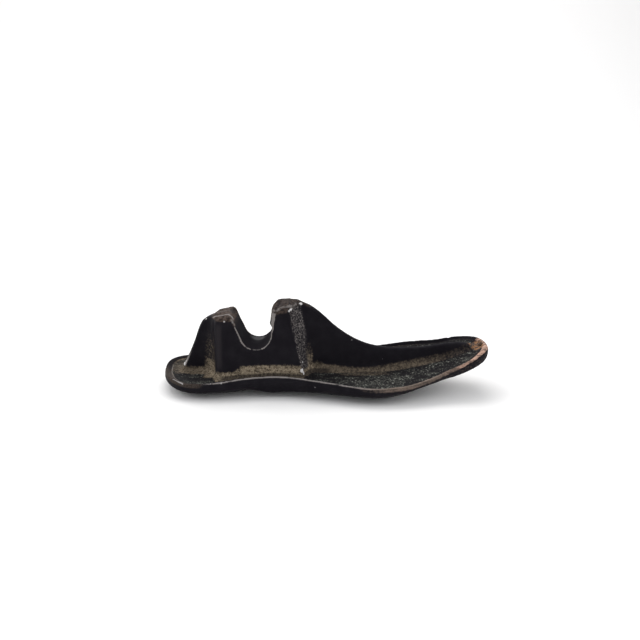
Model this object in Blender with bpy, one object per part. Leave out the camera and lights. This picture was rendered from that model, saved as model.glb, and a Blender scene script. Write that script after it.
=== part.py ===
"""A one-piece cast-iron cobbler's last, lying on its sole.

+X runs to the toe, +Y to the little-toe side and +Z up. The origin is on the surface that the
last rests on, below the middle of its box. Sizes are in millimetres until the mesh is made.
"""

import bisect
import math

import bmesh
import bpy
from mathutils import Vector

MM = 0.001
OBJECT_NAME = "cobblers_last"
NODE_NAME = "shoe_last_casting"

# Plan of the sole plate. Each end is half a rounded oval about this centre; a squareness of 2 is
# an ellipse. Both ends are fuller on the little-toe side: the oval's share of the half width is
# raised to this power there.
HEEL_X, HEEL_REACH, HEEL_SQUARENESS, HEEL_FAR_POWER = -66.0, 22.4, 2.3, 0.75
TOE_X, TOE_REACH, TOE_SQUARENESS, TOE_FAR_POWER = 66.0, 22.3, 2.1, 0.85
END_STEPS = 10
# The heel is also skewed: its little-toe corner reaches back by up to this much, and its other
# corner falls short by as much.
HEEL_SKEW = 3.6
# Half widths (x, mm) on the arch side (-Y) and on the little-toe side (+Y) of the middle line.
NEAR_HALF = ((-66, 22.4), (-54, 21.4), (-36, 18.6), (-24, 18.3), (-6, 21.2), (24, 27.4),
             (38, 26.4), (54, 22.0), (66, 18.6))
FAR_HALF = ((-66, 22.6), (-48, 21.0), (-28, 19.2), (-8, 21.0), (24, 25.8), (38, 25.2),
            (54, 21.4), (66, 18.4))
# The middle line bends this far to the little-toe side.
BEND = ((20, 0.0), (86, 3.0))

# Side view of the plate (x, mm).
RIM_TOP = ((-87, 9.8), (-60, 10.0), (-44, 11.2), (-27, 12.0), (-4, 11.4), (20, 11.8), (36, 13.2),
           (50, 15.6), (62, 18.2), (76, 22.6), (88, 25.3))
WALL_HEIGHT = ((-88, 5.2), (-66, 5.0), (-50, 5.2), (-42, 6.0), (-29, 8.8), (-16, 7.6), (0, 5.6),
               (20, 4.8), (36, 4.2), (47, 3.4), (58, 3.9), (68, 5.6), (79, 7.1), (88, 8.0))
UNDERSIDE = ((-50, 0.0), (-42.5, 1.6), (-33, 0.5), (-10, 0.6), (6, 0.0), (31, 0.0), (37, 1.5),
             (47, 4.6), (58, 7.6), (68, 10.6), (78, 13.8), (88, 17.0))
# Rise to the little-toe side per mm of width: the forepart is twisted against the heel.
TWIST = ((-68, 0.035), (-40, 0.0), (-20, 0.0), (0, 0.035), (20, 0.085), (36, 0.12), (52, 0.15),
         (60, 0.142), (76, 0.08), (88, 0.03))
TRAY_DEPTH = 1.9
# Share of the half width that the flat sole pad covers, and how the twist moves it to the arch side.
PAD_SHARE = 0.42
PAD_SHIFT = 1.0
DOME_STEPS = (0.25, 0.5, 0.75)
DOME_POWER = 1.5
WALL_TAPER = 0.9

# The rolled rim: (inward from the edge, below its top), widened by RIM_WIDTH along the plate.
RIM_PROFILE = ((0.0, 3.0), (0.15, 1.3), (0.7, 0.3), (1.4, 0.0), (2.0, 0.45), (2.5, 1.7))
RIM_WIDTH = ((-87, 1.5), (-64, 1.0), (30, 1.0), (60, 0.85), (72, 1.0), (86, 1.6))

# The web, and the hub block that stands in it.
WEB_REAR = -78.2
WEB_FRONT = 80.6
WEB_FOOT_HALF = 2.5
WEB_TOP_HALF = 1.7
HUB_FOOT_HALF = 12.9
HUB_REAR, HUB_FRONT = -58.8, -13.2
REAR_FOLD, FRONT_FOLD = 7.6, 5.6
REAR_ROUND, FRONT_ROUND = 2.0, 1.35
FOLD_STEPS = 5
HUB_DRAFT = ((-58, 0.93), (-18, 0.75))
FRONT_LEAN = ((-30, 0.0), (-13, -7.0), (-7, -7.0), (14, 0.0))
STATION_GAP = 2.6
# The fillet along the foot of the web and hub: width and height. Where the tray is narrow, the
# fillet takes this share of it.
FILLET_WIDTH = 4.8
FILLET_RISE = ((-72, 3.6), (-56, 5.0), (40, 5.0), (60, 4.0))
FILLET_STEPS = (0.3, 0.6, 0.85)
NARROW_FILLET_SHARE = 0.62
# The tray is level from this share of its width, measured from the rim to the fillet.
FLOOR_START_SHARE = 0.3
# Crest of the web and of both posts (x, z), and how far their edges lie below it.
CREST = ((-78.2, 12.2), (-76.5, 14.4), (-73.6, 20.2), (-70.7, 27.2), (-68.6, 33.4), (-65.9, 37.8),
         (-61, 39.8), (-50, 41.2), (-38, 44.0), (-29, 48.0), (-23, 49.3), (-17.5, 49.3),
         (-13, 47.9), (-4.2, 42.2), (2.5, 36.0), (10.7, 30.0), (17.7, 26.4), (24, 24.3),
         (33, 22.9), (43, 22.6), (52, 23.0), (61, 24.3), (69, 25.2), (75, 25.1), (80.6, 23.9))
CREST_DROP = ((-70, 0.5), (-50, 0.6), (-29, 4.4), (-20, 3.8), (-14, 1.4), (-9, 0.6))
# Above the fillet the face keeps at least this height, and the drop takes at most this share of it.
LEAST_FACE = 0.5
MOST_DROP_SHARE = 0.5
# The crest is rounded by one more line: its share of the half width, and of the drop.
SHOULDER_SHARE, SHOULDER_DROP_SHARE = 0.6, 0.3

# The saddle notch: a round bottom between two leaning walls.
NOTCH_X, NOTCH_Z, NOTCH_RADIUS = -37.8, 32.5, 7.8
NOTCH_REAR_LEAN, NOTCH_FRONT_LEAN = math.radians(23.6), math.radians(8.7)
NOTCH_ARC_STEPS = 20
NOTCH_TOP = 60.0
NOTCH_HALF_DEPTH = 20.0

# Points closer than this are one, and faces that meet at a larger angle than this show an edge.
WELD_GAP = 0.02
NOTCH_WELD_GAP = 0.001
SHARP_ANGLE = math.radians(38)

IRON_COLOUR = (0.020, 0.019, 0.022, 1.0)
IRON_ROUGHNESS = 0.42
IRON_METALLIC = 0.3


def smooth(knots, x):
    """The value at x of a curve through the knots (x, value) that doesn't overshoot them."""
    xs, ys = zip(*knots)
    if x <= xs[0] or x >= xs[-1]:
        return ys[0] if x <= xs[0] else ys[-1]
    rises = [(ys[k + 1] - ys[k]) / (xs[k + 1] - xs[k]) for k in range(len(xs) - 1)]

    def slope(k):
        if k in (0, len(rises)) or rises[k - 1] * rises[k] <= 0:
            return 0.0
        return 2 * rises[k - 1] * rises[k] / (rises[k - 1] + rises[k])

    k = bisect.bisect_right(xs, x) - 1
    gap = xs[k + 1] - xs[k]
    t = (x - xs[k]) / gap
    ease = t * t * (3 - 2 * t)
    bulge = gap * (t * (1 - t) ** 2 * slope(k) - t * t * (1 - t) * slope(k + 1))
    return ys[k] + (ys[k + 1] - ys[k]) * ease + bulge


def mix(a, b, share):
    return tuple(p + (q - p) * share for p, q in zip(a, b))


def inward(start, target, distance):
    """The point this far from start towards target, in plan."""
    reach = math.dist(start, target)
    return mix(start, target, distance / reach)


def spread(first, last, gap):
    """Places from first up to last, evenly, at most gap apart."""
    steps = math.ceil((last - first) / gap)
    return [first + (last - first) * k / steps for k in range(steps)]


def oval(share, squareness):
    """(along, across) on a quarter oval, from its end at share 0 to its side at share 1."""
    angle = math.pi / 2 * share
    return math.cos(angle) ** (2 / squareness), math.sin(angle) ** (2 / squareness)


def stations():
    """(x of the plate's edge, share of the half width, x of the web's face) for each section."""
    found = []
    for k in range(END_STEPS):
        along, across = oval(k / END_STEPS, HEEL_SQUARENESS)
        web_x = WEB_REAR + (HEEL_X - WEB_REAR) * k / END_STEPS
        found.append((HEEL_X - HEEL_REACH * along, across, web_x))
    turns = [math.sin(math.pi / 2 * k / FOLD_STEPS) for k in range(FOLD_STEPS + 1)]
    places = spread(HEEL_X, HUB_REAR - REAR_FOLD, STATION_GAP)
    places += [HUB_REAR - REAR_FOLD * (1 - turn) for turn in turns]
    places += spread(HUB_REAR, HUB_FRONT, STATION_GAP)[1:]
    places += [HUB_FRONT + FRONT_FOLD * (1 - turn) for turn in reversed(turns)]
    places += spread(HUB_FRONT + FRONT_FOLD, TOE_X, STATION_GAP)[1:]
    found += [(x, 1.0, x) for x in places]
    for k in range(END_STEPS, -1, -1):
        along, across = oval(k / END_STEPS, TOE_SQUARENESS)
        web_x = WEB_FRONT + (TOE_X - WEB_FRONT) * k / END_STEPS
        found.append((TOE_X + TOE_REACH * along, across, web_x))
    return found


def hub_share(x):
    """0 where the web is plain, 1 on the hub, and a concave fold between them."""
    if HUB_REAR <= x <= HUB_FRONT:
        return 1.0
    if x < HUB_REAR:
        s, power = 1 - (HUB_REAR - x) / REAR_FOLD, REAR_ROUND
    else:
        s, power = 1 - (x - HUB_FRONT) / FRONT_FOLD, FRONT_ROUND
    return 1 - (1 - s ** power) ** (1 / power) if s > 0 else 0.0


def end_round(x):
    """Closes the web's two ends in plan."""
    to_end = min(x - WEB_REAR, WEB_FRONT - x)
    return math.sqrt(1 - (1 - to_end / WEB_FOOT_HALF) ** 2) if to_end < WEB_FOOT_HALF else 1.0


def tray_floor(x, y):
    return smooth(RIM_TOP, x) - TRAY_DEPTH + smooth(TWIST, x) * y


def section(station, side):
    """Points of one side's section, from the sole pad out round the rim and up to the crest."""
    edge_x, cap, web_x = station
    if side > 0:
        cap = cap ** (HEEL_FAR_POWER if edge_x < 0 else TOE_FAR_POWER)
    half = smooth(NEAR_HALF if side < 0 else FAR_HALF, edge_x) * cap
    past_heel = max(0.0, (HEEL_X - edge_x) / HEEL_REACH)
    edge = (edge_x - HEEL_SKEW * side * cap * past_heel, side * half)
    hub = hub_share(web_x)
    foot_half = WEB_FOOT_HALF * end_round(web_x) + (HUB_FOOT_HALF - WEB_FOOT_HALF) * hub
    foot = (web_x, side * foot_half)
    spine = (min(max(edge_x, HEEL_X), TOE_X), 0.0)

    twist = smooth(TWIST, edge_x)
    rim_top = smooth(RIM_TOP, edge_x) + twist * edge[1]
    sole = smooth(UNDERSIDE, edge_x)
    lower = rim_top - smooth(WALL_HEIGHT, edge_x)
    corner = inward(edge, spine, WALL_TAPER)
    pad = mix(spine, edge, PAD_SHARE - side * PAD_SHIFT * twist)
    points = [(*pad, sole)]
    for s in DOME_STEPS:
        points.append((*mix(pad, corner, s), sole + (lower - sole) * s ** DOME_POWER))
    points.append((*corner, lower))

    width = smooth(RIM_WIDTH, edge_x)
    for distance, below in RIM_PROFILE:
        points.append((*inward(edge, foot, distance * width), rim_top - below))

    rim_width = RIM_PROFILE[-1][0] * width
    free = math.dist(edge, foot) - rim_width
    fillet = min(FILLET_WIDTH, NARROW_FILLET_SHARE * free)
    level = rim_width + FLOOR_START_SHARE * (free - fillet)
    for place in (inward(edge, foot, level), inward(foot, edge, fillet)):
        points.append((*place, tray_floor(place[0], place[1])))
    start, start_z = points[-1][:2], points[-1][2]
    crest_here = smooth(CREST, web_x)
    rise = min(smooth(FILLET_RISE, web_x), crest_here - start_z - LEAST_FACE)
    for s in FILLET_STEPS:
        points.append((*mix(start, foot, math.sin(s * math.pi / 2)),
                       start_z + rise * (1 - math.cos(s * math.pi / 2))))
    points.append((*foot, start_z + rise))

    top_x = web_x + smooth(FRONT_LEAN, web_x)
    hub_half = (HUB_FOOT_HALF - WEB_FOOT_HALF) * hub * smooth(HUB_DRAFT, web_x)
    top_half = WEB_TOP_HALF * end_round(web_x) + hub_half
    crest = smooth(CREST, top_x)
    drop = smooth(CREST_DROP, top_x)
    drop = min(drop, MOST_DROP_SHARE * (crest - start_z - rise))
    points.append((top_x, side * top_half, crest - drop))
    points.append((top_x, side * top_half * SHOULDER_SHARE, crest - SHOULDER_DROP_SHARE * drop))
    return points


def bent(point):
    """The point in metres, moved with the bend of the middle line."""
    x, y, z = point
    return x * MM, (y + smooth(BEND, x)) * MM, z * MM


def skin(mesh, rings):
    """Faces between neighbouring closed rings of the same number of points."""
    for lower, upper in zip(rings, rings[1:]):
        count = len(lower)
        for k in range(count):
            following = (k + 1) % count
            mesh.faces.new((lower[k], lower[following], upper[following], upper[k]))


def close_across(mesh, ring, middle=None):
    """Faces across a ring, between each point and its twin on the other side."""
    count = len(ring)
    for k in range(count // 2):
        near, far = (ring[k], ring[k + 1]), (ring[-k], ring[-k - 1])
        if middle is None:
            strips = [(*near, far[1], far[0])]
        else:
            line = (middle[k], middle[k + 1])
            strips = [(*near, line[1], line[0]), (*line, far[1], far[0])]
        for strip in strips:
            corners = list(dict.fromkeys(strip))
            if len(corners) > 2:
                mesh.faces.new(corners)


def casting_mesh():
    """The whole casting without its notch: closed rings round the foot, from the sole to the crest."""
    places = stations()
    last = len(places) - 1
    near = [section(place, -1) for place in places]
    far = [section(place, 1) for place in places]
    mesh = bmesh.new()
    rings = []
    for level in range(len(near[0])):
        loop = [near[k][level] for k in range(last + 1)]
        loop += [far[k][level] for k in range(last - 1, 0, -1)]
        rings.append([mesh.verts.new(bent(point)) for point in loop])
    skin(mesh, rings)
    close_across(mesh, rings[0])
    top = rings[-1]
    crest_line = [top[0]]
    for k in range(1, last):
        top_x = near[k][-1][0]
        crest_line.append(mesh.verts.new(bent((top_x, 0.0, smooth(CREST, top_x)))))
    crest_line.append(top[last])
    close_across(mesh, top, crest_line)
    bmesh.ops.remove_doubles(mesh, verts=mesh.verts, dist=WELD_GAP * MM)
    bmesh.ops.recalc_face_normals(mesh, faces=mesh.faces)
    return mesh


def notch_outline():
    """Corners of the notch in side view (x, z), round its bottom from the heel side."""
    first, last = math.pi + NOTCH_REAR_LEAN, 2 * math.pi - NOTCH_FRONT_LEAN
    outline = []
    for k in range(NOTCH_ARC_STEPS + 1):
        angle = first + (last - first) * k / NOTCH_ARC_STEPS
        outline.append((NOTCH_X + NOTCH_RADIUS * math.cos(angle),
                        NOTCH_Z + NOTCH_RADIUS * math.sin(angle)))
    rear_x, rear_z = outline[0]
    front_x, front_z = outline[-1]
    rear_top = (rear_x - (NOTCH_TOP - rear_z) * math.tan(NOTCH_REAR_LEAN), NOTCH_TOP)
    front_top = (front_x + (NOTCH_TOP - front_z) * math.tan(NOTCH_FRONT_LEAN), NOTCH_TOP)
    return [rear_top, *outline, front_top]


def notch_cutter(collection):
    """A flat outline in the XZ plane, pushed out to both sides of the hub."""
    curve = bpy.data.curves.new("notch_outline", "CURVE")
    curve.dimensions = "2D"
    curve.fill_mode = "BOTH"
    curve.extrude = NOTCH_HALF_DEPTH * MM
    outline = notch_outline()
    line = curve.splines.new("POLY")
    line.points.add(len(outline) - 1)
    for point, (x, z) in zip(line.points, outline):
        point.co = (x * MM, z * MM, 0.0, 1.0)
    line.use_cyclic_u = True
    guide = bpy.data.objects.new("notch_guide", curve)
    guide.rotation_euler = (math.pi / 2, 0.0, 0.0)
    collection.objects.link(guide)
    bpy.context.view_layer.update()
    graph = bpy.context.evaluated_depsgraph_get()
    mesh = bpy.data.meshes.new_from_object(guide.evaluated_get(graph))
    welded = bmesh.new()
    welded.from_mesh(mesh)
    bmesh.ops.remove_doubles(welded, verts=welded.verts, dist=NOTCH_WELD_GAP * MM)
    bmesh.ops.recalc_face_normals(welded, faces=welded.faces)
    welded.to_mesh(mesh)
    welded.free()
    cutter = bpy.data.objects.new("notch_cutter", mesh)
    cutter.matrix_world = guide.matrix_world.copy()
    collection.objects.link(cutter)
    bpy.data.objects.remove(guide)
    cutter.hide_render = True
    cutter.display_type = "WIRE"
    return cutter


def japanned_iron():
    """Black lacquer on cast iron."""
    material = bpy.data.materials.new("japanned_cast_iron")
    material.use_nodes = True
    shader = material.node_tree.nodes["Principled BSDF"]
    shader.inputs["Base Color"].default_value = IRON_COLOUR
    shader.inputs["Roughness"].default_value = IRON_ROUGHNESS
    shader.inputs["Metallic"].default_value = IRON_METALLIC
    return material


def shoe_last_casting(collection, cutter):
    mesh = bpy.data.meshes.new(NODE_NAME)
    shape = casting_mesh()
    shape.to_mesh(mesh)
    shape.free()
    mesh.materials.append(japanned_iron())
    casting = bpy.data.objects.new(NODE_NAME, mesh)
    collection.objects.link(casting)
    mesh.shade_smooth()
    mesh.set_sharp_from_angle(angle=SHARP_ANGLE)
    notch = casting.modifiers.new("saddle_notch", "BOOLEAN")
    notch.operation = "DIFFERENCE"
    notch.solver = "EXACT"
    notch.object = cutter
    return casting


def stand_on_origin(casting, others):
    """Moves the casting so that the origin is below the middle of its box, and the others with it."""
    corners = [Vector(corner) for corner in casting.bound_box]
    low = Vector(map(min, zip(*corners)))
    high = Vector(map(max, zip(*corners)))
    shift = Vector((-(low.x + high.x) / 2, -(low.y + high.y) / 2, -low.z))
    for part in (casting, *others):
        part.location += shift


def new_collection(name):
    collection = bpy.data.collections.new(name)
    bpy.context.scene.collection.children.link(collection)
    return collection


def main():
    for old in list(bpy.data.objects):
        bpy.data.objects.remove(old)
    parts = new_collection(OBJECT_NAME)
    cutters = new_collection("cutters")
    cutters.hide_render = True
    cutter = notch_cutter(cutters)
    casting = shoe_last_casting(parts, cutter)
    stand_on_origin(casting, [cutter])


main()
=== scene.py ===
# A worn black cobbler's last, lying on its sole as a paperweight.
#
# The imported casting is the frame. One finer piece stands for it: the same surface as even small
# quads, rounded as a sand casting is, then grained, pitted and chipped. Masks measured on that
# surface tell the material where the lacquer has worn off, where dust lies, where rust shows, and
# where highlights and shade are painted into the colour.
# Lengths in tables are millimetres in the frame's axes: +X to the toe, +Y to the little-toe side
# and +Z up.

import itertools
import math

import bmesh
import bpy
import numpy as np
from mathutils import Matrix
from mathutils.geometry import convex_hull_2d

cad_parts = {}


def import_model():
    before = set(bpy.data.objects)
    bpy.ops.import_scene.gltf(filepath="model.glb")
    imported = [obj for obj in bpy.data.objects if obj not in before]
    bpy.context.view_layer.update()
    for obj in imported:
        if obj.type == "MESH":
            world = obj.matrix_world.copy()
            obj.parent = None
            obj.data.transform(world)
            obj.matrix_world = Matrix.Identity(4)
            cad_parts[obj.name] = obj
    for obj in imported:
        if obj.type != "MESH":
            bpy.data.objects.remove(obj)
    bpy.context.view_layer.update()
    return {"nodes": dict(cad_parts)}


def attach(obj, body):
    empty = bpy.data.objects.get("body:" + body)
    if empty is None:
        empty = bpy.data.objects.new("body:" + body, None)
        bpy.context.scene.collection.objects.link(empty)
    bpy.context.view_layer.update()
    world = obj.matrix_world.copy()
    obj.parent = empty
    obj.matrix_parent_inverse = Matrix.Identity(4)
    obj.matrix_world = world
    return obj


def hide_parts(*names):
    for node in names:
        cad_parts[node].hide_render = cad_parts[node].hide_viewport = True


MM = 0.001
NODE = "shoe_last_casting"
PIECE = "worn_casting"
SLOT = "japanned_iron"

# The piece's quads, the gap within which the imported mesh's split points are joined, and how far
# each round of smoothing moves a point to its neighbours' mean.
VOXEL = 0.56
WELD_GAP = 0.002
BLUR_SHARE = 0.5

# The camera: place, how far it looks down, turns to the right and leans, and its lens.
CAMERA_PLACE = (-12.45, -296.31, 125.14)
CAMERA_DOWN, CAMERA_TURN, CAMERA_LEAN = map(math.radians, (16.40, 1.66, 1.16))
CAMERA_LENS, SENSOR_WIDTH, CLIP_START = 32.625, 36.0, 0.01


# ---------------------------------------------------------------- numbers on the surface

def ramp(values, low, high):
    """0 below low, 1 above high, and smooth between; low may be the larger one."""
    t = np.clip((values - low) / (high - low), 0.0, 1.0)
    return t * t * (3 - 2 * t)


def band(values, low, high, soft):
    """1 between low and high, with edges this soft."""
    return ramp(values, low - soft, low + soft) * ramp(values, high + soft, high - soft)


# Odd numbers and shifts that scramble a cell's indices into its random value.
SCRAMBLE = (73856093, 19349663, 83492791, 2654435761)
STIR, STIR_MORE, SHIFT, SHIFT_MORE = 2246822519, 3266489917, 15, 13
BITS_32, BITS_16 = 0xFFFFFFFF, 0xFFFF


def noise(points, size, seed):
    """Smooth noise, about -1 to 1, whose lumps are this wide."""
    places = points / size
    cell = np.floor(places).astype(np.int64)
    t = places - cell
    t = t * t * (3 - 2 * t)
    total = np.zeros(len(points))
    for corner in itertools.product((0, 1), repeat=3):
        at = cell + corner
        key = seed * SCRAMBLE[3]
        for axis in range(3):
            key = key ^ at[:, axis] * SCRAMBLE[axis]
        key = (key ^ key >> SHIFT) * STIR & BITS_32
        key = (key ^ key >> SHIFT_MORE) * STIR_MORE & BITS_32
        value = (key ^ key >> 16 & BITS_16) % (BITS_16 + 1) / (BITS_16 / 2) - 1
        weight = np.prod(np.where(corner, t, 1 - t), axis=1)
        total += weight * value
    return total


def layered(points, size, seed, layers=3):
    """Noise with finer, weaker layers on it."""
    total, weight = np.zeros(len(points)), 1.0
    for k in range(layers):
        total += weight * noise(points, size / 2 ** k, seed + k)
        weight /= 2
    return total


class Skin:
    """A mesh's points in millimetres, with the sums over neighbours that smoothing needs."""

    def __init__(self, mesh):
        self.mesh = mesh
        count = len(mesh.vertices)
        flat = np.empty(count * 3, np.float32)
        mesh.vertices.foreach_get("co", flat)
        self.points = flat.reshape(-1, 3).astype(float) / MM
        ends = np.empty(len(mesh.edges) * 2, np.int32)
        mesh.edges.foreach_get("vertices", ends)
        self.ends = ends.reshape(-1, 2)
        self.degree = np.bincount(ends, minlength=count).astype(float)

    def blurred(self, values, rounds):
        """The values (points, columns), each mixed with its neighbours' mean this many times."""
        first, second = self.ends.T
        for _ in range(rounds):
            columns = []
            for column in values.T:
                total = np.bincount(first, column[second], len(column))
                total += np.bincount(second, column[first], len(column))
                columns.append(total / self.degree)
            values = values + BLUR_SHARE * (np.stack(columns, axis=1) - values)
        return values

    def store(self):
        self.mesh.vertices.foreach_set("co", (self.points * MM).astype(np.float32).ravel())
        self.mesh.update()

    def normals(self):
        self.store()
        flat = np.empty(len(self.points) * 3, np.float32)
        self.mesh.vertex_normals.foreach_get("vector", flat)
        return flat.reshape(-1, 3).astype(float)

    def bulge(self, normals, rounds):
        """Height in mm over the blurred surface: above 0 on edges, below 0 in corners."""
        return ((self.points - self.blurred(self.points, rounds)) * normals).sum(axis=1)

    def push(self, normals, heights):
        self.points = self.points + normals * heights[:, None]

    def mark(self, name, values):
        """Keeps a share from 0 to 1 for each point, for the material to read."""
        layer = self.mesh.attributes.new(name, "FLOAT", "POINT")
        layer.data.foreach_set("value", np.clip(values, 0.0, 1.0).astype(np.float32))


def even_quads(node):
    """A new object with the node's surface as even quads."""
    shape = bmesh.new()
    shape.from_mesh(node.data)
    bmesh.ops.remove_doubles(shape, verts=shape.verts, dist=WELD_GAP * MM)
    mesh = bpy.data.meshes.new(PIECE)
    shape.to_mesh(mesh)
    shape.free()
    piece = bpy.data.objects.new(PIECE, mesh)
    bpy.context.scene.collection.objects.link(piece)
    remesh = piece.modifiers.new("even_quads", "REMESH")
    remesh.mode = "VOXEL"
    remesh.voxel_size = VOXEL * MM
    graph = bpy.context.evaluated_depsgraph_get()
    fine = bpy.data.meshes.new_from_object(piece.evaluated_get(graph))
    piece.modifiers.clear()
    piece.data = fine
    bpy.data.meshes.remove(mesh)
    fine.name = PIECE
    return piece


# ---------------------------------------------------------------- where a point lies on the last

# The outline and the rim's crest are read in slots this wide along X. Past END_X the outline is the
# convex hull. The crest is the highest point within RIM_REACH of the outline.
SLOT_WIDTH = 3.0
END_X = 64.0
RIM_REACH = 2.6
TRAY_DEPTH = 1.9
MIDDLE_Y = 0.75
TINY = 1e-9


def outline(cad):
    """Corners of the plate's outline in plan, once round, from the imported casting's points."""
    inner = cad[np.abs(cad[:, 0]) <= END_X]
    slots = np.round(inner[:, 0] / SLOT_WIDTH).astype(int)
    sides = []
    for pick in (np.argmin, np.argmax):
        rows = [inner[slots == slot] for slot in np.unique(slots)]
        sides.append([tuple(row[pick(row[:, 1]), :2]) for row in rows])
    hull = [tuple(cad[k, :2]) for k in convex_hull_2d([tuple(p) for p in cad[:, :2]])]
    heel = sorted((p for p in hull if p[0] < -END_X), key=lambda p: -p[1])
    toe = sorted((p for p in hull if p[0] > END_X), key=lambda p: p[1])
    return np.array(sides[0] + toe + sides[1][::-1] + heel)


def distance_to(corners, points, closed=True):
    """Each point's distance from the line through the corners, in plan if they have no height."""
    corners = np.array(corners)
    points = points[:, :corners.shape[1]]
    nearest = np.full(len(points), np.inf)
    ends = np.roll(corners, -1, axis=0) if closed else corners[1:]
    for start, end in zip(corners, ends):
        run = end - start
        share = np.clip(((points - start) @ run) / max(run @ run, TINY), 0, 1)
        there = start + share[:, None] * run
        nearest = np.minimum(nearest, np.linalg.norm(points - there, axis=1))
    return nearest


def rim_level(cad, corners, points):
    """Height, at each point, of the straight line across the plate from rim crest to rim crest."""
    gap = distance_to(corners, cad)
    crests = []
    for side in (-1, 1):
        rim = cad[(gap < RIM_REACH) & ((cad[:, 1] - MIDDLE_Y) * side > 0)]
        slots = np.round(rim[:, 0] / SLOT_WIDTH).astype(int)
        rows = [rim[slots == slot] for slot in np.unique(slots)]
        tops = np.array([row[np.argmax(row[:, 2])] for row in rows])
        crests.append([np.interp(points[:, 0], tops[:, 0], tops[:, k]) for k in (1, 2)])
    (near_y, near_z), (far_y, far_z) = crests
    share = np.clip((points[:, 1] - near_y) / np.maximum(far_y - near_y, 1.0), 0, 1)
    return near_z + (far_z - near_z) * share


# ---------------------------------------------------------------- the worn casting

# Rounds of smoothing: of the whole casting, of the posts, of the rim's ends and the heel post's front
# corner, of the hub's rear corners, and to find fine edges and broad corners.
CAST_ROUNDS, POST_ROUNDS, END_ROUNDS, REAR_ROUNDS = 3, 8, 24, 30
FINE_ROUNDS, BROAD_ROUNDS = 8, 90

# In the tables of limits below, two numbers are where a share is 0 and where it is 1, and three are
# low, high and how soft the ends are. _X, _Y and _Z limits lie along the axes, _OUT is the distance
# from the middle plane, _GAP the distance in from the outline, and _UP, _FRONT and _ASIDE are parts
# of the surface's normal.

# How far the heel post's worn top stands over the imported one, along X.
POST_LIFT = (
    (-66, 0.0), (-61, 0.5), (-56, 1.1), (-52, 1.5), (-48.5, 1.3), (-46.8, 0.2), (-45.5, -0.6),
)
LIFT_X, LIFT_Z = (-66.0, -40.0, 3.0), (36.0, 39.0)
# How far the hub's rear corners are cut back: where the cut starts, its length, depth and curve; and
# the hub's half thickness and draft, from its height over the plate.
REAR_CUT_X, REAR_CUT_LENGTH, REAR_CUT_DEPTH, REAR_CUT_CURVE = -53.8, 4.5, 2.3, 1.5
HUB_HALF, HUB_DRAFT, HUB_FOOT_Z = 12.9, 0.065, 15.0
CUT_X, CUT_Z = (-60.0, -40.0, 1.0), (11.5, 14.5)
# The parts that are smoothed more.
RIM_END_GAP, RIM_TOE_X, RIM_HEEL_X, RIM_END_Z = (6.5, 4.5), (62.0, 76.0), (-62.0, -74.0), (1.5, 4.0)
REAR_CORNER_X, REAR_CORNER_OUT, REAR_CORNER_Z = (-61.0, -53.5, 1.5), (7.5, 9.0), (12.0, 16.0)
POSTS_X, POSTS_Z = (-62.0, -9.0, 1.5), (32.0, 38.0)
POST_CORNER_X, POST_CORNER_Z = (-50.5, -44.0, 1.0), (36.0, 38.5)


def round_off(skin, corners):
    """Rounds the casting, and gives how far each point stood out when it was only lightly rounded."""
    x, y, z = skin.points.T
    across = np.abs(y - MIDDLE_Y)
    lift = np.interp(x, *np.array(POST_LIFT).T) * band(x, *LIFT_X)
    cut = REAR_CUT_DEPTH * np.clip((REAR_CUT_X - x) / REAR_CUT_LENGTH, 0, 1) ** REAR_CUT_CURVE
    excess = np.clip(across - (HUB_HALF - HUB_DRAFT * (z - HUB_FOOT_Z) - cut), 0, None)
    excess *= band(x, *CUT_X) * ramp(z, *CUT_Z) * (cut > 0)
    skin.points[:, 1] -= np.sign(y - MIDDLE_Y) * excess
    skin.points[:, 2] += lift * ramp(z, *LIFT_Z)

    x, y, z = skin.points.T
    across = np.abs(y - MIDDLE_Y)
    ends = ramp(distance_to(corners, skin.points), *RIM_END_GAP)
    ends = ends * np.maximum(ramp(x, *RIM_TOE_X), ramp(x, *RIM_HEEL_X)) * ramp(z, *RIM_END_Z)
    rear_corner = band(x, *REAR_CORNER_X) * ramp(across, *REAR_CORNER_OUT) * ramp(z, *REAR_CORNER_Z)
    posts = band(x, *POSTS_X) * ramp(z, *POSTS_Z)
    post_corner = band(x, *POST_CORNER_X) * ramp(z, *POST_CORNER_Z)
    skin.points = skin.blurred(skin.points, CAST_ROUNDS)
    edge = skin.bulge(skin.normals(), FINE_ROUNDS)
    for rounds, share in ((POST_ROUNDS, posts), (END_ROUNDS, ends),
                          (REAR_ROUNDS, rear_corner), (END_ROUNDS, post_corner)):
        softer = skin.blurred(skin.points, rounds)
        skin.points = skin.points + (softer - skin.points) * share[:, None]
    return edge


# Share of the rim's usual width along X.
RIM_WIDTH = ((-87, 1.5), (-64, 1.0), (30, 1.0), (60, 0.85), (72, 1.0), (86, 1.6))
NEAR_Y = (4.0, -4.0)
HEEL_X, TOE_X, FORE_X = (-60.0, -68.0), (52.0, 80.0), (6.0, 36.0)
INSIDE_GAP = (2.2, 3.0)
FLOOR_OVER, FLOOR_UP = (0.8, 0.25), (0.75, 0.92)
# How high the dusty fillet climbs over the tray: everywhere, and more or less at some places.
BALL_DIP_X = (8.0, 34.0, 8.0)
FILLET_TALL, FILLET_SOFT, FILLET_FOOT = 5.4, 2.4, (0.15, 0.6)
FILLET_MORE = ((2.6, (-47.0, -13.0, 2.0)), (2.0, (-8.0, -2.0, 2.0)), (-1.5, BALL_DIP_X))
RIM_GAP, RIM_HEIGHT = (3.0, 2.2), (-2.6, -1.6)
BELOW_GAP, BELOW_HEIGHT = (3.0, 2.0), (-1.8, -3.2)
TOP_X, TOP_Z, TOP_UP = (-60.5, -10.0, 1.5), (36.0, 38.0), (0.2, 0.5)
CHAMFER_X, CHAMFER_Z = (-21.5, -7.5, 1.2), (12.0, 14.0)
CHAMFER_FRONT, CHAMFER_ASIDE = (0.3, 0.6), (0.12, 0.9, 0.06)
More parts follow.
